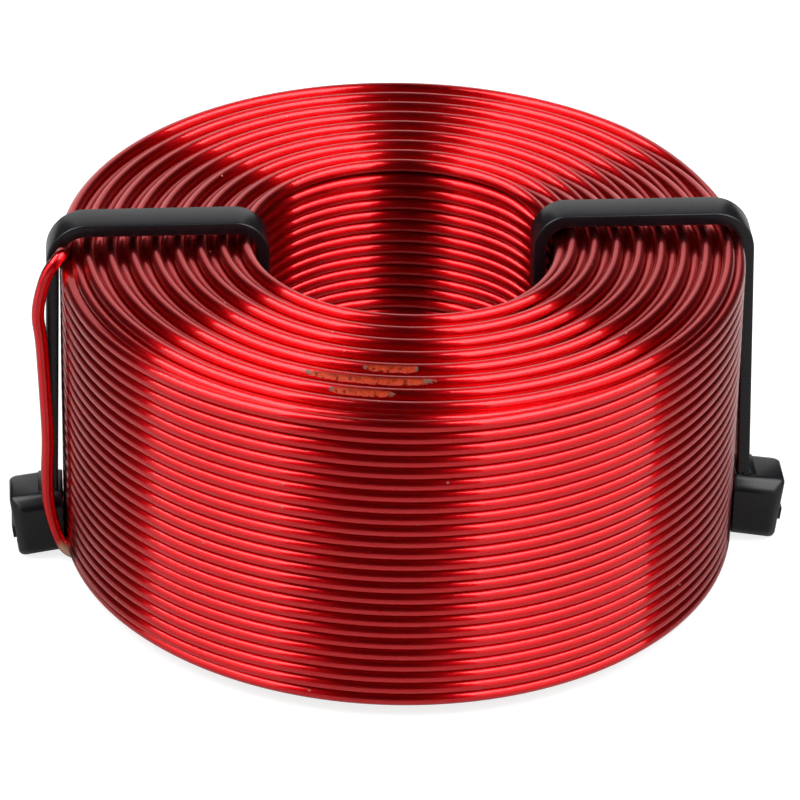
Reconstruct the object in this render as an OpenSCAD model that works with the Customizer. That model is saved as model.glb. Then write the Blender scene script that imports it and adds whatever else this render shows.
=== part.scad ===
// Crossover coil: an air-core inductor wound in close-packed layers of enamelled
// wire and held by two cable ties. Millimetres, +Z up, standing on its ties, with
// the origin on the axis of the bore at the level of the surface it stands on.

/* [Wire] */
// Diameter of the wire over its enamel
wire_d = 1.28; // [1.1:0.01:1.5]

/* [Winding] */
// Distance between neighbouring turns of one layer
turn_pitch = 1.285; // [1.28:0.005:1.5]
// Turns in each layer
turns = 25; // [16:1:32]
// Layers, from the bore outward
layers = 17; // [9:1:21]
// Diameter of the bore
bore_d = 30; // [24:1:40]

/* [Cable ties] */
// Width of a strap
strap_w = 3.6; // [2.5:0.1:4.8]
// Thickness of a strap
strap_t = 1.05; // [0.8:0.05:1.4]
// Gap between a strap and the turns above, below and in the bore
strap_gap = 0.3; // [0.25:0.05:0.6]
// Gap between a strap's outer leg and the outermost turns
leg_gap = 0.5; // [0.45:0.05:0.9]
// Distance from the bore's axis back to the middle of both straps
strap_back = 1; // [0:0.1:2.5]

/* [Tie heads] */
// Width of a head, across the strap
head_w = 6.4; // [5.6:0.1:8]
// Height of a head, along the strap
head_h = 6.8; // [6:0.1:9]
// Depth of a head, from the strap's inner face outward
head_t = 4.6; // [3.8:0.1:6]
// Chamfer round a head
head_chamfer = 1; // [0.4:0.1:1.2]
// Height of the step where the strap joins the head
root_h = 0.8; // [0.4:0.1:1.5]
// Thickness that this step adds to the strap
root_t = 0.6; // [0.3:0.1:1]
// Room round the cut tail in the mouth of the head's slot
slot_gap = 0.35; // [0.25:0.05:0.6]
// Depth of the slot's mouth
slot_depth = 0.6; // [0.3:0.1:1]
// Length of the cut tail past the head
tail_out = 0.25; // [0.1:0.05:1]

/* [Leads] */
// Distance that the finish lead stands off the outermost turns
lead_off = 0.95; // [0.8:0.05:2]
// Gap between the finish lead and the front of the tie's head
lead_gap = 0.25; // [0.2:0.05:1]
// Height of the finish lead's cut end
lead_end_z = 0.75; // [0.7:0.05:3]
// Distance behind the strap where the finish lead leaves its turn
lead_run = 6; // [4:0.5:10]
// Distance down from its turn to where the finish lead stands upright
lead_fall = 4.5; // [3.5:0.1:8]
// Height over its cut end where the finish lead turns in towards the winding
lead_hook = 5.5; // [4.5:0.1:8]
// Distance that the finish lead's cut end is turned in
lead_tuck = 1.7; // [1:0.1:2.5]
// Distance across the bore from the start lead to where it joins its turn
start_run = 6; // [4:0.5:10]
// Distance from the top of the winding down to the start lead's cut end
start_drop = 6; // [2:0.5:15]

/* [Hidden] */

enamel_red = [0.66, 0.04, 0.10];
tie_black = [0.10, 0.10, 0.11];

wire_r = wire_d / 2;
// Layers nest, so they are closer together than the wire is thick
layer_step = sqrt(wire_d * wire_d - turn_pitch * turn_pitch / 4);
first_r = bore_d / 2 + wire_r;
last_r = first_r + (layers - 1) * layer_step;
coil_r = last_r + wire_r;
coil_z = strap_t + strap_gap;
coil_top = coil_z + wire_d + (turns - 0.5) * turn_pitch;

// The core reaches this far past the centres of the outer turns, so that every
// groove between two turns has a closed bottom
core_past = 0.3 * wire_r;

// Height that the n-th layer is lifted by nesting: every second one, half a pitch
function lift(n) = n % 2 == 1 ? 0 : turn_pitch / 2;
function turn_r(n) = first_r + (n - 1) * layer_step;
function turn_z(n, k) = coil_z + wire_r + lift(n) + (k - 1) * turn_pitch;

// Straps: inner faces of the loop that each strap makes round the winding
near_edge = max(0, strap_back - strap_w / 2);
far_edge = strap_back + strap_w / 2;
leg_x = sqrt(pow(coil_r, 2) - pow(near_edge, 2)) + leg_gap;
bore_x = sqrt(pow(bore_d / 2, 2) - pow(far_edge, 2)) - strap_gap;
loop_bottom = coil_z - strap_gap;
loop_top = coil_top + strap_gap;

// Largest inner corner radius that clears a corner turn by half the strap's gap,
// where the turn's centre lies a and b inside the two faces of the loop
turn_clear = wire_r + strap_gap / 2;
function snug(a, b) = a + b - turn_clear + sqrt(2 * (a - turn_clear) * (b - turn_clear));
first_x = sqrt(pow(first_r, 2) - pow(far_edge, 2));
second_x = sqrt(pow(first_r + layer_step, 2) - pow(far_edge, 2));
low_in = turn_z(1, 1) - loop_bottom;
low_out = turn_z(layers, 1) - loop_bottom;
high_in = loop_top - turn_z(1, turns);
high_out = loop_top - turn_z(layers, turns);
r_low_in = snug(first_x - bore_x, low_in);
r_low_out = snug(leg_x - last_r, low_out);
r_high_in = min(snug(first_x - bore_x, high_in),
                snug(second_x - bore_x, loop_top - turn_z(2, turns)));
r_high_out = min(snug(leg_x - last_r, high_out),
                 snug(leg_x - last_r + layer_step, loop_top - turn_z(layers - 1, turns)));

// Finish lead: leaves the outermost layer below its top turn, passes under the
// strap, bulges out and runs down in front of the tie's head
lead_y = strap_back - head_w / 2 - lead_gap - wire_r;
lead_x = coil_r + lead_off + wire_r;
lead_z = turn_z(layers, turns) - wire_r;
FINISH = [
    [-last_r + 1.5 * wire_d, far_edge + lead_run, lead_z],
    [-last_r - 0.4 * wire_d, lead_y + wire_d, lead_z],
    [-lead_x, lead_y, lead_z - lead_fall],
    [-lead_x, lead_y, lead_end_z + lead_hook],
    [-lead_x + lead_tuck, lead_y, lead_end_z],
];
FINISH_BENDS = [for (n = [1.5, 4.5, 6]) n * wire_d];

// Start lead: leaves the lowest turn of the first layer and stands in the bore
start_y = -(bore_d / 2 - wire_r - strap_gap);
START = [
    [start_run, -first_r - 0.5 * wire_d, turn_z(1, 1) + wire_r],
    [0, start_y, turn_z(1, 1) + wire_r],
    [0, start_y, coil_top - start_drop],
];
START_BENDS = [1.5 * wire_d];

// A bend is this much thicker than the wire, and closes over the ends of the
// straight stretches, which reach into it by the lap
bend_swell = 0.01;
lap = 0.1;

function unit(v) = v / norm(v);
function bend_angle(a, b, c) = acos(unit(b - a) * unit(c - b));
// Distance from a corner of the lead's route to where its bend begins
function cut(a, b, c, r) = r * tan(bend_angle(a, b, c) / 2);

// Angles that turn the X, Y and Z axes to the directions u, w and n
function turned(u, w, n) = abs(u.z) > 0.9999
    ? [atan2(-n.y, w.y), -asin(u.z), 0]
    : [atan2(w.z, n.z), -asin(u.z), atan2(u.y, u.x)];

// A straight stretch of wire from a to b
module straight(a, b) {
    v = b - a;
    translate(a) rotate([0, acos(v.z / norm(v)), atan2(v.y, v.x)])
        cylinder(r = wire_r, h = norm(v), $fn = 48);
}

// The bend of radius r at b, on the way from a to c
module bend(a, b, c, r) {
    angle = bend_angle(a, b, c);
    d = unit(b - a);
    n = unit(cross(d, unit(c - b)));
    // Across the wire, from the bend's centre towards its beginning
    u = cross(d, n);
    w = cross(n, u);
    begin = b - d * cut(a, b, c, r);
    translate(begin - u * r)
        rotate(turned(u, w, n))
            rotate_extrude(angle = angle, $fn = 96)
                translate([r, 0]) circle(wire_r + bend_swell, $fn = 48);
}

// A wire along a route with rounded corners
module wire(route, bends) {
    last = len(route) - 1;
    for (i = [1 : last]) {
        a = route[i - 1];
        b = route[i];
        d = unit(b - a);
        from = i == 1 ? a : a + d * (cut(route[i - 2], a, b, bends[i - 2]) - lap);
        to = i == last ? b : b - d * (cut(a, b, route[i + 1], bends[i - 1]) - lap);
        straight(from, to);
    }
    for (i = [1 : last - 1]) bend(route[i - 1], route[i], route[i + 1], bends[i - 1]);
}

// Half section of the winding: the turns that show, round a solid core
module turns_section() {
    polygon(concat(
        [[first_r - core_past, turn_z(1, 1) - core_past]],
        [for (n = [1 : layers]) [turn_r(n), turn_z(n, 1) - core_past]],
        [[last_r + core_past, turn_z(layers, 1) - core_past],
         [last_r + core_past, turn_z(layers, turns) + core_past]],
        [for (n = [layers : -1 : 1]) [turn_r(n), turn_z(n, turns) + core_past]],
        [[first_r - core_past, turn_z(1, turns) + core_past]]
    ));
    for (n = [1, layers], k = [1 : turns])
        translate([turn_r(n), turn_z(n, k)]) circle(wire_r, $fn = 24);
    for (n = [2 : layers - 1], k = [1, turns])
        translate([turn_r(n), turn_z(n, k)]) circle(wire_r, $fn = 24);
}

// The coil's one wire: its layers of turns and both leads
module winding() {
    color(enamel_red) {
        rotate_extrude($fn = 180) turns_section();
        wire(FINISH, FINISH_BENDS);
        wire(START, START_BENDS);
    }
}

// Rectangle from the loop's bore side to its outer side, grown by g, with a
// rounded corner of each own radius
module loop_outline(g) {
    x0 = bore_x - g;
    x1 = leg_x + g;
    z0 = loop_bottom - g;
    z1 = loop_top + g;
    corners = [[x0, z0, 1, 1, r_low_in], [x1, z0, -1, 1, r_low_out],
               [x1, z1, -1, -1, r_high_out], [x0, z1, 1, -1, r_high_in]];
    difference() {
        polygon([for (c = corners) [c[0], c[1]]]);
        for (c = corners) let (r = c[4] + g) difference() {
            translate([c[0] - (c[2] < 0 ? r : 1), c[1] - (c[3] < 0 ? r : 1)]) square(r + 1);
            translate([c[0] + c[2] * r, c[1] + c[3] * r]) circle(r, $fn = 96);
        }
    }
}

// A block with all the edges of its two wide sides chamfered, centred on y = 0
module head_block() {
    c = head_chamfer;
    h = head_h;
    w = head_w / 2;
    intersection() {
        translate([leg_x, 0, 0]) rotate([90, 0, 90]) linear_extrude(head_t)
            polygon([[-w, c], [-w + c, 0], [w - c, 0], [w, c],
                     [w, h - c], [w - c, h], [-w + c, h], [-w, h - c]]);
        linear_extrude(head_h) translate([leg_x, 0])
            polygon([[0, -w], [head_t - c, -w], [head_t, -w + c],
                     [head_t, w - c], [head_t - c, w], [0, w]]);
    }
}

// A closed cable tie round the right side of the winding
module cable_tie() {
    tail_z = r_low_out + strap_t;
    face_x = leg_x + head_t;
    mouth_w = strap_w + 2 * slot_gap;
    mouth_h = strap_t + 2 * slot_gap;
    translate([0, strap_back, 0]) {
        translate([0, strap_w / 2, 0]) rotate([90, 0, 0]) linear_extrude(strap_w)
            difference() {
                loop_outline(strap_t);
                loop_outline(0);
            }
        difference() {
            head_block();
            translate([face_x - slot_depth, -mouth_w / 2, tail_z - mouth_h / 2])
                cube([slot_depth + 1, mouth_w, mouth_h]);
        }
        // The cut tail in the mouth of the slot
        translate([face_x - slot_depth - 1, -strap_w / 2, tail_z - strap_t / 2])
            cube([slot_depth + tail_out + 1, strap_w, strap_t]);
        // The thicker root of the strap on top of the head
        translate([leg_x, -strap_w / 2 - root_t / 2, head_h - 1])
            cube([strap_t + root_t, strap_w + root_t, root_h + 1]);
    }
}

module cable_tie_right() {
    color(tie_black) cable_tie();
}

module cable_tie_left() {
    color(tie_black) mirror([1, 0, 0]) cable_tie();
}

winding();
cable_tie_left();
cable_tie_right();
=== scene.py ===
"""Crossover coil: its turns of enamelled wire, its two leads and its cable ties."""
import math

import bpy
from mathutils import Matrix, Vector


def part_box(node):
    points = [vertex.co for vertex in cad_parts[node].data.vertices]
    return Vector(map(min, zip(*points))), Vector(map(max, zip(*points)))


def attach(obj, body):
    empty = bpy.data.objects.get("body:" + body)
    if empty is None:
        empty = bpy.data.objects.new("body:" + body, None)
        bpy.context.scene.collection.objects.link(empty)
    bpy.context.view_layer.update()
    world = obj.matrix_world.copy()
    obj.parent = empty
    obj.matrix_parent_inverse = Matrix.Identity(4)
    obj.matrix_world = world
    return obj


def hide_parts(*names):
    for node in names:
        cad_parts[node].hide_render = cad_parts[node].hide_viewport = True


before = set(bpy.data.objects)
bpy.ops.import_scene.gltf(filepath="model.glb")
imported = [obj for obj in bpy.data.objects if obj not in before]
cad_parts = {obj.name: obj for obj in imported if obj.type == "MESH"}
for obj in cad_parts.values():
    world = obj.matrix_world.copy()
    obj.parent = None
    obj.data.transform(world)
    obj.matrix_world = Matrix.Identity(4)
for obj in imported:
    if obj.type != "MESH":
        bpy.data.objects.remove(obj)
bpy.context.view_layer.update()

bl_info = {
    "name": "Crossover coil",
    "version": (1, 0, 0),
    "blender": (4, 5, 0),
    "location": "View3D > Sidebar > Coil",
    "description": "Builds an air-core crossover coil round its CAD frame",
    "category": "Add Mesh",
}

MM = 0.001
# A turn of the wire: the angles of its lay are in degrees
TURN = 360
# Reach of the winding to the right, and of the ties upwards
WINDING_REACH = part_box("winding")[1].x
TIE_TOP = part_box("cable_tie_right")[1].z


# --- Sizes and colours -------------------------------------------------------------

class WindingSizes(bpy.types.PropertyGroup):
    """The wire and how it is wound"""
    wire_d: bpy.props.FloatProperty(
        name="Wire diameter", description="Diameter over the enamel",
        default=1.28 * MM, min=0.5 * MM, max=3 * MM, unit="LENGTH", precision=5)
    pitch: bpy.props.FloatProperty(
        name="Pitch", description="Distance between neighbouring turns of a layer",
        default=1.285 * MM, min=0.5 * MM, max=3 * MM, unit="LENGTH", precision=5)
    turns: bpy.props.IntProperty(
        name="Turns", description="Turns in each layer", default=25, min=8, max=40)
    layers: bpy.props.IntProperty(
        name="Layers", description="Layers from the bore outward, an odd number",
        default=17, min=3, max=25)
    bore_d: bpy.props.FloatProperty(
        name="Bore", description="Diameter of the bore",
        default=30 * MM, min=10 * MM, max=60 * MM, unit="LENGTH", precision=4)
    base_z: bpy.props.FloatProperty(
        name="Base", description="Height of the lowest turns' undersides",
        default=1.35 * MM, min=0, max=5 * MM, unit="LENGTH", precision=5)


class TieSizes(bpy.types.PropertyGroup):
    """A cable tie's strap and head"""
    strap_w: bpy.props.FloatProperty(
        name="Strap width", description="Width of a strap",
        default=3.6 * MM, min=2 * MM, max=6 * MM, unit="LENGTH", precision=5)
    strap_t: bpy.props.FloatProperty(
        name="Strap thickness", description="Thickness of a strap",
        default=1.25 * MM, min=0.5 * MM, max=2 * MM, unit="LENGTH", precision=5)
    bore_x: bpy.props.FloatProperty(
        name="Inner leg", description="Distance from the axis to a strap's leg in the bore",
        default=14.4 * MM, min=5 * MM, max=30 * MM, unit="LENGTH", precision=5)
    leg_x: bpy.props.FloatProperty(
        name="Outer leg", description="Distance from the axis to a strap's outer leg",
        default=34.5 * MM, min=20 * MM, max=60 * MM, unit="LENGTH", precision=5)
    lean: bpy.props.FloatProperty(
        name="Lean", description="How much further back a strap's top is than its head",
        default=3.4 * MM, min=0, max=5 * MM, unit="LENGTH", precision=5)
    head_w: bpy.props.FloatProperty(
        name="Head width", description="Width of a head across the strap",
        default=6.4 * MM, min=4 * MM, max=10 * MM, unit="LENGTH", precision=5)
    head_h: bpy.props.FloatProperty(
        name="Head height", description="Height of a head along the strap",
        default=6.6 * MM, min=4 * MM, max=10 * MM, unit="LENGTH", precision=5)
    head_t: bpy.props.FloatProperty(
        name="Head depth", description="Depth of a head outward from the strap",
        default=4.55 * MM, min=3 * MM, max=8 * MM, unit="LENGTH", precision=5)
    chamfer: bpy.props.FloatProperty(
        name="Head chamfer", description="Chamfer round a head's wide sides",
        default=1.0 * MM, min=0.2 * MM, max=2 * MM, unit="LENGTH", precision=5)
    droop: bpy.props.FloatProperty(
        name="Droop", description="How far a head tips down outward, in degrees",
        default=8, min=0, max=20)


def colour(name, description, rgb):
    return bpy.props.FloatVectorProperty(
        name=name, description=description, subtype="COLOR", size=3,
        min=0, max=1, default=rgb)


class CoilColours(bpy.types.PropertyGroup):
    """The colours of the coil and of the stage it stands on"""
    enamel: colour("Enamel", "Red enamel over the copper", (0.66, 0.004, 0.008))
    copper: colour("Copper", "Bare copper where the enamel is scraped off", (0.5, 0.05, 0.012))
    # Deep copper colours the dark spots on a scrape, and also paints shade along its upper edge
    shaded_and_spotted_copper: colour("Deep copper", "Spots and upper edge of a scrape", (0.16, 0.011, 0.001))
    # Pale copper is a painted highlight along a scrape's lower edge
    painted_highlight_copper: colour("Pale copper", "Lower edge of a scrape", (0.62, 0.15, 0.105))
    frayed: colour("Frayed enamel", "Ends of a scrape", (0.16, 0.085, 0.065))
    dust: colour("Dust", "Specks on the enamel", (0.3, 0.1, 0.09))
    tin: colour("Tin", "Solder on the ends of the leads", (0.62, 0.38, 0.25))
    nylon: colour("Nylon", "Black nylon of the cable ties", (0.0035, 0.0035, 0.0045))
    floor: colour("Floor", "The pale surface that the coil stands on", (0.3, 0.3, 0.3))


# --- Small tools -------------------------------------------------------------------

def ease(x):
    """Goes smoothly from 0 to 1 as x does."""
    x = min(max(x, 0.0), 1.0)
    return x * x * (3 - 2 * x)


def deselect():
    if bpy.context.object and bpy.context.object.mode != "OBJECT":
        bpy.ops.object.mode_set(mode="OBJECT")
    bpy.ops.object.select_all(action="DESELECT")


def activate(piece):
    deselect()
    piece.select_set(True)
    bpy.context.view_layer.objects.active = piece


def context_object(name):
    piece = bpy.context.object
    piece.name = piece.data.name = name
    return piece


def settle(piece):
    """Leaves a piece at the origin with its normals outward."""
    activate(piece)
    bpy.ops.object.transform_apply(location=True, rotation=True, scale=True)
    bpy.ops.object.mode_set(mode="EDIT")
    bpy.ops.mesh.select_all(action="SELECT")
    bpy.ops.mesh.normals_make_consistent(inside=False)
    bpy.ops.object.mode_set(mode="OBJECT")


def combine(piece, other, operation):
    """Unites a piece with another, or cuts the other out of it."""
    activate(piece)
    step = piece.modifiers.new(operation.lower(), "BOOLEAN")
    step.object = other
    step.operation = operation
    bpy.ops.object.modifier_apply(modifier=step.name)
    bpy.data.objects.remove(other)


def block(low, high):
    """A box between two corners."""
    deselect()
    low, high = Vector(low), Vector(high)
    bpy.ops.mesh.primitive_cube_add(size=1, location=(low + high) / 2)
    piece = bpy.context.object
    piece.scale = high - low
    bpy.ops.object.transform_apply(location=True, rotation=True, scale=True)
    return piece


def dress(piece, material, slot, *nodes):
    """Gives a finished piece its material and its place in the frame."""
    piece.data.materials.clear()
    piece.data.materials.append(material)
    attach(piece, "root")
    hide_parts(*nodes)


def polar(radius, degrees, z):
    """A point at an angle from the front, anticlockwise as seen from above."""
    a = math.radians(degrees)
    return Vector((radius * math.sin(a), -radius * math.cos(a), z))


def smooth(points, count):
    """A curve through the points, with a number of steps between each two."""
    ends = [points[0] * 2 - points[1], *points, points[-1] * 2 - points[-2]]
    curve = []
    for a, b, c, d in zip(ends, ends[1:], ends[2:], ends[3:]):
        for i in range(count):
            t = i / count
            curve.append(b + (c - a) * t / 2 + (a - b * 2.5 + c * 2 - d / 2) * t ** 2
                         + (b * 1.5 - a / 2 - c * 1.5 + d / 2) * t ** 3)
    return [*curve, points[-1]]


def curve_piece(name, routes, closed=False):
    """A curve object of straight steps along the routes."""
    deselect()
    bpy.ops.curve.primitive_bezier_curve_add(location=(0, 0, 0))
    piece = context_object(name)
    curve = piece.data
    curve.splines.clear()
    curve.dimensions = "3D"
    curve.twist_mode = "MINIMUM"
    for route in routes:
        spline = curve.splines.new("POLY")
        spline.points.add(len(route) - 1)
        for point, place in zip(spline.points, route):
            point.co = (*place, 1)
        spline.use_smooth = True
        spline.use_cyclic_u = closed
    return piece


def wire_piece(name, routes, radius, sides):
    """One mesh of round wires that follow the routes, closed at both ends."""
    piece = curve_piece(name, routes)
    piece.data.bevel_depth = radius
    piece.data.bevel_resolution = (sides - 4) // 2
    piece.data.use_fill_caps = True
    bpy.ops.object.convert(target="MESH")
    piece = bpy.context.object
    settle(piece)
    bpy.ops.object.shade_smooth_by_angle(angle=math.radians(60))
    return piece


def arc(centre, radius, start, steps):
    """Points along a quarter of a circle, from an angle in degrees."""
    points = []
    for i in range(steps + 1):
        a = math.radians(start + 90 / steps * i)
        points.append(centre + Vector((math.cos(a), math.sin(a), 0)) * radius)
    return points


def rounded(width, height, radius, steps=3):
    """Outline of a rectangle about the origin, with rounded corners."""
    points = []
    for sx, sy, start in ((1, 1, 0), (-1, 1, 90), (-1, -1, 180), (1, -1, 270)):
        centre = Vector((sx * (width / 2 - radius), sy * (height / 2 - radius), 0))
        points += arc(centre, radius, start, steps)
    return points


# --- The winding's lay -------------------------------------------------------------

class Lay:
    """Where the wire runs: each turn is level, but for two jogs of half a pitch."""
    # Angle at which the jog at the back begins, and its length, in degrees
    BACK_JOG, BACK_LENGTH = 100, 35
    # Height that the innermost layer's top turn stands up over the outermost's
    CROWN = 0.55 * MM

    def __init__(self, sizes, jog, length):
        self.r = sizes.wire_d / 2
        self.pitch = sizes.pitch
        self.turns = sizes.turns
        self.layers = sizes.layers
        self.first = sizes.bore_d / 2 + self.r
        self.step = math.sqrt(sizes.wire_d ** 2 - (sizes.pitch / 2) ** 2)
        self.z = sizes.base_z + self.r
        # Angle at which the jog at the front begins, and its length
        self.jog = jog
        self.length = length
        # Angles at which a layer's first turn settles and its last one is complete
        self.begin = jog + length
        self.end = TURN * self.turns + jog

    def radius(self, layer):
        return self.first + (layer - 1) * self.step

    def climbed(self, degrees):
        """Pitches climbed since the layer's start, which is at the front."""
        turn, rest = divmod(degrees - self.jog, TURN)
        front = ease(rest / self.length)
        back = ease((rest + self.jog - self.BACK_JOG) / self.BACK_LENGTH)
        return turn + (front + back - 1) / 2

    def height(self, layer, degrees):
        """Odd layers climb and even layers come down again."""
        climbed = min(max(self.climbed(degrees), 0), self.turns - 0.5)
        if layer % 2 == 0:
            climbed = self.turns - 0.5 - climbed
        crown = self.CROWN * (self.layers - layer) / (self.layers - 1)
        return self.z + self.pitch * climbed + crown * ease(climbed - self.turns + 2)

    def turn(self, layer, start, stop, step):
        """Points along a layer between two angles from its start."""
        count = max(2, round((stop - start) / step))
        angles = [start + (stop - start) * i / count for i in range(count + 1)]
        return [polar(self.radius(layer), a, self.height(layer, a)) for a in angles]

    def crossing(self, layer, step):
        """From the end of a layer out to the start of the next."""
        count = round(self.length / step)
        points = []
        for i in range(1, count):
            t = ease(i / count)
            z = (1 - t) * self.height(layer, self.end) + t * self.height(layer + 1, self.begin)
            points.append(polar(self.radius(layer + t), self.end + self.length * i / count, z))
        return points


# --- Materials ---------------------------------------------------------------------

class Net:
    """The nodes of a material, a group or a world, and the ways to add to them."""

    def __init__(self, tree):
        self.nodes, self.links = tree.nodes, tree.links

    def set(self, socket, value):
        """Links a socket to another one, or gives it a value."""
        if isinstance(value, bpy.types.NodeSocket):
            self.links.new(value, socket)
        elif socket.type == "RGBA":
            socket.default_value = (*value, 1)
        else:
            socket.default_value = value

    def put(self, kind, settings=None, **inputs):
        """A node with its settings and its inputs, named or numbered as i0, i1 and so on."""
        node = self.nodes.new("ShaderNode" + kind)
        for name, value in (settings or {}).items():
            setattr(node, name, value)
        for name, value in inputs.items():
            number = name[1:]
            self.set(node.inputs[int(number) if number.isdigit() else name.replace("_", " ")],
                     value)
        return node

    def maths(self, operation, a, b=0.0, c=0.0, clamp=False):
        settings = {"operation": operation, "use_clamp": clamp}
        return self.put("Math", settings, i0=a, i1=b, i2=c).outputs[0]

    def mixed(self, factor, a, b):
        """The colour a, or b where the factor is 1."""
        node = self.put("Mix", {"data_type": "RGBA"}, i0=factor)
        for value, socket in zip((a, b), [s for s in node.inputs if s.type == "RGBA"]):
            self.set(socket, value)
        return [s for s in node.outputs if s.type == "RGBA"][0]

    def noise(self, place, scale, detail):
        return self.put("TexNoise", Vector=place, Scale=scale, Detail=detail).outputs[0]


def new_material(name):
    """A material, its nodes and its shader."""
    material = bpy.data.materials.new(name)
    material.use_nodes = True
    net = Net(material.node_tree)
    return material, net, net.nodes["Principled BSDF"]


def new_group(name, inputs, outputs):
    """An empty node group, its nodes, what it takes and what it gives, all by name."""
    group = bpy.data.node_groups.new(name, "ShaderNodeTree")
    for sockets, way in ((inputs, "INPUT"), (outputs, "OUTPUT")):
        for socket in sockets:
            kind = "Vector" if socket == "Position" else "Float"
            group.interface.new_socket(socket, in_out=way, socket_type="NodeSocket" + kind)
    net = Net(group)
    take, give = net.nodes.new("NodeGroupInput"), net.nodes.new("NodeGroupOutput")
    return group, net, take.outputs, give.inputs


def scrape_group():
    """Where a wire is scraped: a lens on the side of it that is up and outward, with a ramp
    across it for painted shade and a painted highlight.
    """
    group, net, take, give = new_group(
        "scrape",
        ("Position", "Wire", "Radius", "Height", "Middle", "Half Length", "Turned", "Half Width"),
        ("Scraped", "Ends", "Side"))
    x, y, z = net.put("SeparateXYZ", Vector=take["Position"]).outputs
    angle = net.maths("ARCTAN2", x, net.maths("MULTIPLY", y, -1.0))
    square = net.maths("MULTIPLY", y, y)
    radius = net.maths("SQRT", net.maths("MULTIPLY_ADD", x, x, square))
    ragged = net.noise(take["Position"], 2600.0, 2.0)
    # How far along the wire, next to the lens
    along = net.maths("SUBTRACT", angle, take["Middle"])
    along = net.maths("DIVIDE", along, take["Half Length"])
    # How far round the wire, outward from its top, next to the lens
    out = net.maths("SUBTRACT", radius, take["Radius"])
    up = net.maths("SUBTRACT", z, take["Height"])
    across = net.maths("SUBTRACT", net.maths("ARCTAN2", out, up), take["Turned"])
    across = net.maths("DIVIDE", across, take["Half Width"])
    # A blunt, ragged lens: the fourth power along it, the square across it
    along = net.maths("POWER", net.maths("ABSOLUTE", along), 4.0)
    reach = net.maths("MULTIPLY_ADD", across, across, along)
    reach = net.maths("MULTIPLY_ADD", ragged, 1.2, reach)
    inside = net.maths("MULTIPLY_ADD", reach, -6.0, 9.0, clamp=True)
    # Only on the wire itself, not on its neighbours
    away = net.maths("MULTIPLY_ADD", out, out, net.maths("MULTIPLY", up, up))
    near = net.maths("MULTIPLY", take["Wire"], 1.5)
    own = net.maths("LESS_THAN", net.maths("SQRT", away), near)
    scraped = net.maths("MULTIPLY", inside, own)
    net.set(give["Scraped"], scraped)
    ends = net.maths("MULTIPLY_ADD", along, 6.0, -2.2, clamp=True)
    net.set(give["Ends"], net.maths("MULTIPLY", scraped, ends))
    # Ramp for painted shade and a painted highlight: from 0 at its upper edge to 1 at its lower
    # one
    side = net.maths("MULTIPLY_ADD", across, 0.55, 0.1)
    side = net.maths("MULTIPLY_ADD", ragged, 0.6, side)
    net.set(give["Side"], net.maths("MULTIPLY", scraped, side, clamp=True))
    return group


def specks_group():
    """Scattered specks of dust, about a tenth of a millimetre wide."""
    group, net, take, give = new_group("specks", ("Position", "Share"), ("Specks",))
    cells = net.put("TexVoronoi", Vector=take["Position"], Scale=1100.0)
    chance, size, _ = net.put("SeparateColor", Color=cells.outputs["Color"]).outputs
    few = net.maths("LESS_THAN", chance, take["Share"])
    size = net.maths("MULTIPLY_ADD", size, 0.12, 0.05)
    small = net.maths("LESS_THAN", cells.outputs["Distance"], size)
    net.set(give["Specks"], net.maths("MULTIPLY", few, small))
    return group


# Scrapes at the front of the top: layer, and middle and half length in degrees
SCRAPES = ((9, -7, 6.5), (11, -11.5, 14), (13, -12, 6.5))
# How far down the outer side of the wire they lie, and half their width, in degrees
SCRAPE_SIDE, SCRAPE_HALF = 54, 38
# Share of the cells of about a millimetre that hold a speck of dust
DUST = 0.03


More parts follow.
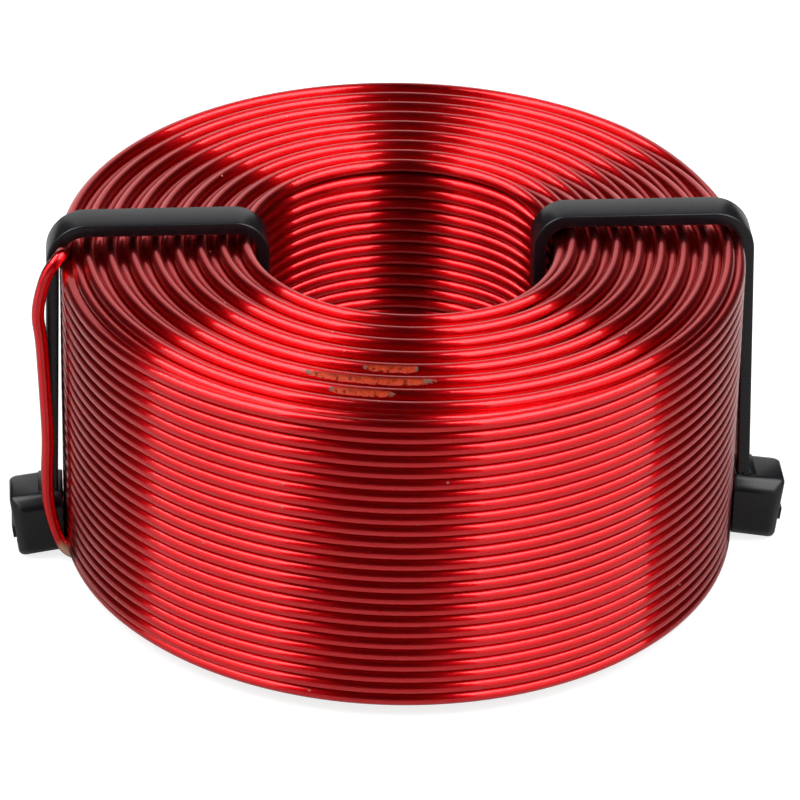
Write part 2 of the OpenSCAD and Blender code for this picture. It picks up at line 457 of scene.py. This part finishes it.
def enamel_material(colours, lay):
    """Red enamel on drawn copper wire, with scrapes that carry painted shade and a painted
    highlight, specks and tinned ends.
    """
    material, net, shader = new_material("red_enamel")
    place = net.put("TexCoord").outputs["Object"]
    # Slow changes of its tone, and a fine grain
    tone = net.noise(place, 90.0, 3.0)
    grain = net.noise(place, 1500.0, 2.0)
    base = net.mixed(tone, [c * 0.82 for c in colours.enamel], colours.enamel)
    # Bare copper on the scrapes: painted shade darkens their upper edges and a painted highlight
    # pales their lower ones;
    #     # dark in spots, and frayed at the ends
    group = scrape_group()
    scraped = ends = side = 0.0
    for layer, middle, half in SCRAPES:
        patch = net.put(
            "Group", {"node_tree": group}, Position=place, Wire=lay.r,
            Radius=lay.radius(layer), Height=lay.height(layer, lay.end),
            Middle=math.radians(middle), Half_Length=math.radians(half),
            Turned=math.radians(SCRAPE_SIDE), Half_Width=math.radians(SCRAPE_HALF))
        scraped = net.maths("MAXIMUM", scraped, patch.outputs["Scraped"])
        ends = net.maths("MAXIMUM", ends, patch.outputs["Ends"])
        side = net.maths("MAXIMUM", side, patch.outputs["Side"])
    worn = net.noise(place, 2000.0, 4.0)
    spots = net.put("MapRange", i0=worn, i1=0.39, i2=0.47).outputs[0]
    # Painted shade on each scrape's upper edge, and a painted highlight on its lower edge
    lower = net.maths("MULTIPLY", side, 2.0, clamp=True)
    painted_highlight_mask = net.maths("MULTIPLY_ADD", side, 2.0, -1.0, clamp=True)
    copper = net.mixed(lower, colours.shaded_and_spotted_copper, colours.copper)
    copper = net.mixed(painted_highlight_mask, copper, colours.painted_highlight_copper)
    copper = net.mixed(spots, colours.shaded_and_spotted_copper, copper)
    copper = net.mixed(ends, copper, colours.frayed)
    base = net.mixed(scraped, base, copper)
    # Tin on the ends of the leads, and dust
    tinned = net.put("Attribute", {"attribute_name": "tinned"}).outputs["Fac"]
    base = net.mixed(tinned, base, colours.tin)
    specks = net.put("Group", {"node_tree": specks_group()}, Position=place,
                     Share=DUST).outputs["Specks"]
    base = net.mixed(specks, base, colours.dust)
    net.set(shader.inputs["Base Color"], base)
    # The enamel is the coat, and all of these lack it
    bare = net.maths("MAXIMUM", scraped, tinned)
    bare = net.maths("MAXIMUM", bare, specks)
    net.set(shader.inputs["Coat Weight"], net.maths("MULTIPLY_ADD", bare, -0.8, 0.8))
    rough = net.maths("MULTIPLY_ADD", grain, 0.06, 0.3)
    net.set(shader.inputs["Roughness"], net.maths("MULTIPLY_ADD", scraped, 0.2, rough))
    metal = net.maths("SUBTRACT", 1.0, specks)
    net.set(shader.inputs["Metallic"],
            net.maths("MULTIPLY_ADD", scraped, -0.55, metal, clamp=True))
    # The scrapes lie a little deeper and are rough
    dents = net.maths("MULTIPLY", scraped, worn)
    height = net.maths("MULTIPLY_ADD", dents, -8.0, grain)
    bump = net.put("Bump", Strength=0.06, Distance=0.02 * MM, Height=height)
    net.set(shader.inputs["Normal"], bump.outputs[0])
    # The drawn wire's fine grooves run along it, and spread light across it
    shader.inputs["Anisotropic"].default_value = 0.95
    shader.inputs["Anisotropic Rotation"].default_value = 0.25
    tangent = net.put("Tangent", {"direction_type": "RADIAL", "axis": "Z"})
    net.set(shader.inputs["Tangent"], tangent.outputs[0])
    shader.inputs["Coat Roughness"].default_value = 0.05
    shader.inputs["Coat IOR"].default_value = 1.42
    return material


def nylon_material(colours):
    """Black nylon: satin moulded faces, a little glossier in patches."""
    material, net, shader = new_material("black_nylon")
    place = net.put("TexCoord").outputs["Object"]
    cloud = net.noise(place, 160.0, 3.0)
    grain = net.noise(place, 2500.0, 2.0)
    base = net.mixed(cloud, colours.nylon, [c * 1.5 for c in colours.nylon])
    net.set(shader.inputs["Base Color"], base)
    net.set(shader.inputs["Roughness"], net.maths("MULTIPLY_ADD", cloud, 0.16, 0.2))
    bump = net.put("Bump", Strength=0.12, Distance=0.02 * MM, Height=grain)
    net.set(shader.inputs["Normal"], bump.outputs[0])
    shader.inputs["Specular IOR Level"].default_value = 0.3
    return material


# --- Pieces of the winding ---------------------------------------------------------

class COIL_OT_winding(bpy.types.Operator):
    """Winds the layers of turns that show, round a plain core"""
    bl_idname = "coil.winding"
    bl_label = "Winding"

    # Where the jogs at the front lie: on the walls and below, and on the top
    WALL_JOG = (-75, 60)
    TOP_JOG = (-12, 68)
    # The finish lead runs from the last turn under the strap and down to its end
    FINISH_AT = -93
    FINISH = [(-33.45, 0.5, 33.55), (-33.75, -0.75, 33.75), (-34.2, -1.5, 33.5),
              (-34.97, -1.86, 32.6), (-35.5, -2.0, 31.4), (-36.05, -2.3, 29.3),
              (-36.2, -2.45, 27.4), (-35.9, -2.8, 24.7), (-35.6, -3.1, 18.6),
              (-35.45, -3.45, 14.1), (-35.58, -3.5, 10.2), (-35.5, -3.5, 6.75),
              (-35.0, -3.56, 4.1), (-34.4, -3.6, 2.25), (-33.75, -3.65, 1.2), (-33.0, -3.7, 0.72)]
    # The start lead stands in the bore and bends into the first turn
    START_AT = 22
    START = [(0, -14.06, 28.1), (0, -14.06, 25.5), (0, -14.06, 23),
             (0, -14.06, 20.5), (0, -14.06, 18), (0, -14.06, 6.5), (0.12, -14.06, 4.6),
             (0.7, -14.08, 3.2), (1.9, -14.18, 2.35), (3.6, -14.5, 2.02)]
    # Lengths over which the ends of the leads are tinned, and points of a lead there
    FINISH_TIN, START_TIN, TIN_POINTS = 1.6 * MM, 6 * MM, 40
    # Steps along a turn and along one of the bore, in degrees, and between a lead's points
    STEP, BORE_STEP, LEAD_STEPS = 2, 3, 5
    # How far a layer's outermost turns run on under their neighbours, in degrees
    LAP = 20

    def execute(self, context):
        scene = context.scene
        wall = Lay(scene.coil_winding, *self.WALL_JOG)
        top = Lay(scene.coil_winding, *self.TOP_JOG)
        material = enamel_material(scene.coil_colours, top)
        # The wires of each piece, and how many sides their round section has
        pieces = {
            "outer_turns": (self.outer_turns(wall), 12),
            "bore_turns": (self.bore_turns(wall), 12),
            "top_turns": (self.top_turns(top, wall.end), 14),
            "bottom_turns": (self.bottom_turns(wall), 12),
        }
        for name, (routes, sides) in pieces.items():
            piece = wire_piece(name, routes, wall.r, sides)
            if name == "outer_turns":
                self.tin(piece, routes[0][::-1], self.FINISH_TIN, wall.r)
            elif name == "bore_turns":
                self.tin(piece, routes[0], self.START_TIN, wall.r)
            dress(piece, material, "enamelled_copper", "winding")
        self.core(wall, material)
        return {"FINISHED"}

    def outer_turns(self, lay):
        """The last layer, whose last turn ends in the finish lead."""
        stop = TURN * lay.turns + self.FINISH_AT
        turns = lay.turn(lay.layers, lay.jog - self.LAP, stop, self.STEP)
        lead = smooth([turns[-1], *(Vector(p) * MM for p in self.FINISH)], self.LEAD_STEPS)
        return [turns + lead[1:]]

    def bore_turns(self, lay):
        """The first layer, which the start lead bends into."""
        turns = lay.turn(1, self.START_AT, lay.end, self.BORE_STEP)
        lead = smooth([*(Vector(p) * MM for p in self.START), turns[0]], self.LEAD_STEPS)
        return [lead[:-1] + turns]

    def top_turns(self, lay, bore_end):
        """Where odd layers end at the top and cross to the even ones."""
        routes = []
        for n in range(1, lay.layers, 2):
            start = bore_end if n == 1 else lay.end - TURN - self.LAP
            routes.append(self.crossed(lay, n, start, TURN + lay.begin))
        return routes

    def bottom_turns(self, lay):
        """Where even layers end at the bottom and cross to the odd ones."""
        routes = []
        for n in range(2, lay.layers, 2):
            stop = TURN + lay.begin if n + 1 < lay.layers else lay.begin + self.STEP
            routes.append(self.crossed(lay, n, lay.end - TURN - self.LAP, stop))
        return routes

    def crossed(self, lay, layer, start, stop):
        """The end of a layer from an angle on, and the next one up to an angle."""
        return (lay.turn(layer, start, lay.end, self.STEP) + lay.crossing(layer, self.STEP)
                + lay.turn(layer + 1, lay.begin, stop, self.STEP))

    def tin(self, piece, lead, reach, radius):
        """Marks the tinned end of a lead, in the attribute that the enamel reads."""
        tinned = piece.data.attributes.new("tinned", "FLOAT", "POINT")
        end = lead[0]
        tip = [p for p in lead[:self.TIN_POINTS] if (p - end).length < 2 * reach]
        for vertex, value in zip(piece.data.vertices, tinned.data):
            if any((vertex.co - p).length < 1.02 * radius for p in tip):
                value.value = ease(3 - 2 * (vertex.co - end).length / reach)

    def core(self, lay, material):
        """The inner turns, which nothing shows of, as a plain ring."""
        # It ends inside the lowest and the highest turns
        low = lay.z + lay.pitch / 2
        high = lay.z + lay.pitch * (lay.turns - 1)
        rings = []
        for radius, depth in ((lay.radius(lay.layers), high - low), (lay.radius(1), high)):
            deselect()
            bpy.ops.mesh.primitive_cylinder_add(
                vertices=128, radius=radius, depth=depth, location=(0, 0, (low + high) / 2))
            rings.append(context_object("winding_core"))
        ring, bore = rings
        combine(ring, bore, "DIFFERENCE")
        ring.name = ring.data.name = "winding_core"
        settle(ring)
        dress(ring, material, "enamelled_copper", "winding")


class COIL_OT_ties(bpy.types.Operator):
    """Makes the two cable ties"""
    bl_idname = "coil.ties"
    bl_label = "Cable ties"

    # Radii of the strap's corners: low inside, low outside, high outside, high inside
    CORNERS = (2.2 * MM, 3.4 * MM, 3.4 * MM, 2.8 * MM)
    # A strap's place at the foot, and how much it stands up over the crown of the turns
    FOOT_Y, RISE = -0.8 * MM, 0.45 * MM
    # Middle of the slot over the floor, its depth, and the room round the tail in it
    SLOT_Z, SLOT_DEPTH, SLOT_ROOM = 2.6 * MM, 0.6 * MM, 0.35 * MM
    # How far the cut tail sticks out, and the height and depth of the strap's root
    TAIL, ROOT_H, ROOT_T = 0.25 * MM, 0.8 * MM, 0.6 * MM
    # Radius of the edges, how much nearer the winding an outer leg is at the top, and
    # the room between the winding and a head
    EDGE, TUCK, CLEAR = 0.18 * MM, 0.5 * MM, 0.02 * MM

    def execute(self, context):
        tie = context.scene.coil_ties
        material = nylon_material(context.scene.coil_colours)
        for side, name in ((-1, "tie_left"), (1, "tie_right")):
            piece = self.strap(tie, name)
            combine(piece, self.head(tie), "UNION")
            for vertex in piece.data.vertices:
                place = vertex.co
                # The outer leg draws in over the head, and the whole tie leans back
                if place.x > 0.9 * tie.leg_x:
                    place.x -= self.TUCK * ease((place.z - 1.4 * tie.head_h) / tie.head_h)
                place.y += self.FOOT_Y + tie.lean * place.z / TIE_TOP
                place.x *= side
            settle(piece)
            bpy.ops.object.shade_smooth_by_angle(angle=math.radians(35))
            dress(piece, material, "tie_plastic", "cable_" + name)
        return {"FINISHED"}

    def strap(self, tie, name):
        """A closed loop round the winding, with rounded edges."""
        half = tie.strap_t / 2
        x0, x1 = tie.bore_x - half, tie.leg_x + half
        z0, z1 = half, TIE_TOP - half + self.RISE
        path = []
        for (x, z, sx, sz), r, start in zip(
                ((x0, z0, 1, 1), (x1, z0, -1, 1), (x1, z1, -1, -1), (x0, z1, 1, -1)),
                self.CORNERS, (180, 270, 0, 90)):
            path += arc(Vector((x + sx * r, z + sz * r, 0)), r, start, 12)
        section = curve_piece("strap_section", [rounded(tie.strap_t, tie.strap_w, self.EDGE)],
                              closed=True)
        loop = curve_piece(name, [path], closed=True)
        loop.data.dimensions = "2D"
        loop.data.fill_mode = "NONE"
        loop.data.bevel_mode = "OBJECT"
        loop.data.bevel_object = section
        bpy.ops.object.convert(target="MESH")
        loop = bpy.context.object
        loop.rotation_euler = (math.pi / 2, 0, 0)
        bpy.data.objects.remove(section)
        settle(loop)
        return loop

    def head(self, tie):
        """A block with chamfered wide sides, the slot's mouth, the tail and the root."""
        w, x0, x1 = tie.head_w / 2, tie.leg_x, tie.leg_x + tie.head_t
        head = block((x0 - 2 * self.TUCK, -w, 0), (x1, w, tie.head_h))
        # The edges of the wide sides, but for those at the winding
        self.bevel(head, tie.chamfer, 1,
                   lambda a, b: abs(a.y - b.y) < w and max(a.x, b.x) > x0)
        self.bevel(head, 2.5 * self.EDGE, 4, lambda a, b: True)
        gap, half, wide = self.SLOT_ROOM, tie.strap_t / 2, tie.strap_w / 2
        low, high = self.SLOT_Z - half, self.SLOT_Z + half
        slot = block((x1 - self.SLOT_DEPTH, -wide - gap, low - gap),
                     (x1 + half, wide + gap, high + gap))
        combine(head, slot, "DIFFERENCE")
        tail = block((x1 - 2 * self.SLOT_DEPTH, -wide, low), (x1 + self.TAIL, wide, high))
        combine(head, tail, "UNION")
        wide += self.ROOT_T / 2
        root = block((x0, -wide, tie.head_h - 3 * self.ROOT_H),
                     (x0 + tie.strap_t + self.ROOT_T / 2, wide, tie.head_h + self.ROOT_H / 4))
        self.bevel(root, self.EDGE, 2, lambda a, b: True)
        combine(head, root, "UNION")
        activate(head)
        bpy.ops.transform.rotate(value=-math.radians(tie.droop), orient_axis="Y",
                                 center_override=(x0, 0, tie.head_h / 2))
        painted_highlight_mask = min((head.matrix_world @ v.co).z for v in head.data.vertices)
        head.location.z -= min(painted_highlight_mask, 0)
        bpy.ops.object.transform_apply(location=True, rotation=True, scale=True)
        for vertex in head.data.vertices:
            vertex.co.x = max(vertex.co.x, WINDING_REACH + self.CLEAR)
        return head

    def bevel(self, piece, width, segments, wanted):
        """Bevels the edges whose two ends are as wanted."""
        activate(piece)
        bpy.ops.object.mode_set(mode="EDIT")
        bpy.ops.mesh.select_mode(type="EDGE")
        bpy.ops.mesh.select_all(action="DESELECT")
        bpy.ops.object.mode_set(mode="OBJECT")
        for edge in piece.data.edges:
            a, b = (piece.data.vertices[i].co for i in edge.vertices)
            edge.select = wanted(a, b)
        bpy.ops.object.mode_set(mode="EDIT")
        bpy.ops.mesh.bevel(offset=width, segments=segments, affect="EDGES")
        bpy.ops.object.mode_set(mode="OBJECT")


# --- Stage -------------------------------------------------------------------------

WHITE = (1, 1, 1)


def glow(net, plain, seen, glossed):
    """Strength of a pale surface's light: plain, and what sight and gloss add to it."""
    path = net.put("LightPath").outputs
    gloss = net.maths("MAXIMUM", path["Is Glossy Ray"], path["Is Transmission Ray"])
    gloss = net.maths("MULTIPLY_ADD", gloss, glossed, plain)
    return net.maths("MULTIPLY_ADD", path["Is Camera Ray"], seen, gloss)


class COIL_OT_stage(bpy.types.Operator):
    """Adds the floor, the lights and the camera"""
    bl_idname = "coil.stage"
    bl_label = "Stage"

    # Camera: what it looks at, where it stands and how far it is turned
    AIM = Vector((0.05, 0, 15.62)) * MM
    DISTANCE = 536.4 * MM
    AZIMUTH, ELEVATION, ROLL = 4.91, 31.08, 1.25
    LENS, SENSOR = 239.5, 36
    # Light panels, as outlines of azimuths from the front and elevations, seen from
    # the coil, with how bright they are next to white
    REACH = 1.0
    UPPER, LOWER = 6.5, 1.0
    PANELS = {
        "upper_light_right": (
            [(22, 34), (91, 34), (99, 43), (118, 50), (112, 70), (70, 83), (28, 74)], UPPER),
        "upper_light_left": (
            [(-43, 34), (-101, 34), (-108, 43), (-132, 52), (-126, 70), (-76, 83), (-50, 74)],
            UPPER),
        "lower_light_right": (
            [(20, 1), (80, 1), (84, 23), (91, 34), (22, 34)], LOWER),
        "lower_light_left": (
            [(-41, 1), (-90, 1), (-94, 23), (-101, 34), (-43, 34)], LOWER),
    }
    # Radius of the floor, and how far under the straps' undersides it lies
    FLOOR_R, FLOOR_GAP = 6, 0.01 * MM
    # The white wall behind the coil: how far behind, its width and its height
    WALL_Y, WALL_W, WALL_H = 1.2, 1.0, 1.14
    # How pale they and the room are: plain, and what sight and gloss add to it
    FLOOR_GLOW = (0, 0.8, 0.12)
    WALL_GLOW = (0.5, 0.5, 0.35)
    ROOM_GLOW = (0.01, 0.99, 0.01)
    # The soft lamp overhead: its place, its size and its power in watts
    LAMP_AT, LAMP_SIZE, LAMP_POWER = (0, -0.1, 0.9), 0.5, 1.5

    def execute(self, context):
        pale = context.scene.coil_colours.floor
        self.floor(pale)
        self.backdrop(pale)
        self.world(context.scene)
        for name, (outline, strength) in self.PANELS.items():
            self.panel(name, outline, strength)
        self.lamp()
        self.camera(context.scene)
        return {"FINISHED"}

    def floor(self, pale):
        deselect()
        bpy.ops.mesh.primitive_circle_add(vertices=96, radius=self.FLOOR_R, fill_type="NGON",
                                          location=(0, 0, -self.FLOOR_GAP))
        floor = context_object("floor")
        material, net, shader = new_material("pale_floor")
        net.set(shader.inputs["Base Color"], pale)
        shader.inputs["Roughness"].default_value = 0.9
        shader.inputs["Specular IOR Level"].default_value = 0.1
        net.set(shader.inputs["Emission Color"], WHITE)
        net.set(shader.inputs["Emission Strength"], glow(net, *self.FLOOR_GLOW))
        floor.data.materials.append(material)

    def backdrop(self, pale):
        """A white wall behind the coil, that its gloss shows too."""
        deselect()
        bpy.ops.mesh.primitive_plane_add(
            size=1, location=(0, self.WALL_Y, self.WALL_H / 2), rotation=(math.pi / 2, 0, 0))
        wall = context_object("backdrop")
        wall.scale = (self.WALL_W, self.WALL_H, 1)
        material, net, shader = new_material("white_backdrop")
        net.set(shader.inputs["Base Color"], pale)
        net.set(shader.inputs["Emission Color"], WHITE)
        net.set(shader.inputs["Emission Strength"], glow(net, *self.WALL_GLOW))
        wall.data.materials.append(material)

    def world(self, scene):
        world = bpy.data.worlds.new("studio")
        scene.world = world
        world.use_nodes = True
        net = Net(world.node_tree)
        background = net.nodes["Background"]
        net.set(background.inputs["Color"], WHITE)
        net.set(background.inputs["Strength"], glow(net, *self.ROOM_GLOW))

    def panel(self, name, outline, strength):
        """A light panel, which only its light and its reflections show of."""
        mesh = bpy.data.meshes.new(name)
        corners = [polar(self.REACH * math.cos(math.radians(el)), az,
                         self.REACH * math.sin(math.radians(el))) for az, el in outline]
        mesh.from_pydata(corners, [], [list(range(len(corners)))])
        light = bpy.data.objects.new(name, mesh)
        bpy.context.collection.objects.link(light)
        light.visible_camera = False
        material, net, shader = new_material(name)
        emission = net.put("Emission", Strength=strength)
        net.set(net.nodes["Material Output"].inputs["Surface"], emission.outputs[0])
        mesh.materials.append(material)

    def lamp(self):
        """A soft lamp overhead that grounds the coil with a shadow."""
        bpy.ops.object.light_add(type="AREA", location=self.LAMP_AT)
        lamp = bpy.context.object
        lamp.name = lamp.data.name = "overhead_lamp"
        lamp.data.size = self.LAMP_SIZE
        lamp.data.energy = self.LAMP_POWER
        lamp.visible_glossy = False

    def camera(self, scene):
        az, el = math.radians(self.AZIMUTH), math.radians(self.ELEVATION)
        look = Vector((math.sin(az) * math.cos(el), math.cos(az) * math.cos(el), -math.sin(el)))
        bpy.ops.object.camera_add(location=self.AIM - look * self.DISTANCE)
        camera = bpy.context.object
        turn = look.to_track_quat("-Z", "Y").to_matrix() @ Matrix.Rotation(
            math.radians(self.ROLL), 3, "Z")
        camera.rotation_euler = turn.to_euler()
        camera.data.lens = self.LENS
        camera.data.sensor_width = self.SENSOR
        camera.data.clip_start = 0.01
        scene.camera = camera
        scene.view_settings.view_transform = "Standard"


# --- Panel and registration --------------------------------------------------------

OPERATORS = (COIL_OT_stage, COIL_OT_winding, COIL_OT_ties)
GROUPS = (WindingSizes, TieSizes, CoilColours)


class COIL_PT_build(bpy.types.Panel):
    """Lists the coil's pieces"""
    bl_idname = "COIL_PT_build"
    bl_label = "Crossover coil"
    bl_space_type = "VIEW_3D"
    bl_region_type = "UI"
    bl_category = "Coil"

    def draw(self, context):
        for operator in OPERATORS:
            self.layout.operator(operator.bl_idname)


def register():
    for cls in (*GROUPS, *OPERATORS, COIL_PT_build):
        bpy.utils.register_class(cls)
    bpy.types.Scene.coil_winding = bpy.props.PointerProperty(type=WindingSizes)
    bpy.types.Scene.coil_ties = bpy.props.PointerProperty(type=TieSizes)
    bpy.types.Scene.coil_colours = bpy.props.PointerProperty(type=CoilColours)


def unregister():
    del bpy.types.Scene.coil_winding
    del bpy.types.Scene.coil_ties
    del bpy.types.Scene.coil_colours
    for cls in reversed((*GROUPS, *OPERATORS, COIL_PT_build)):
        bpy.utils.unregister_class(cls)


def main():
    register()
    bpy.ops.coil.stage()
    bpy.ops.coil.winding()
    bpy.ops.coil.ties()


if __name__ == "__main__":
    main()
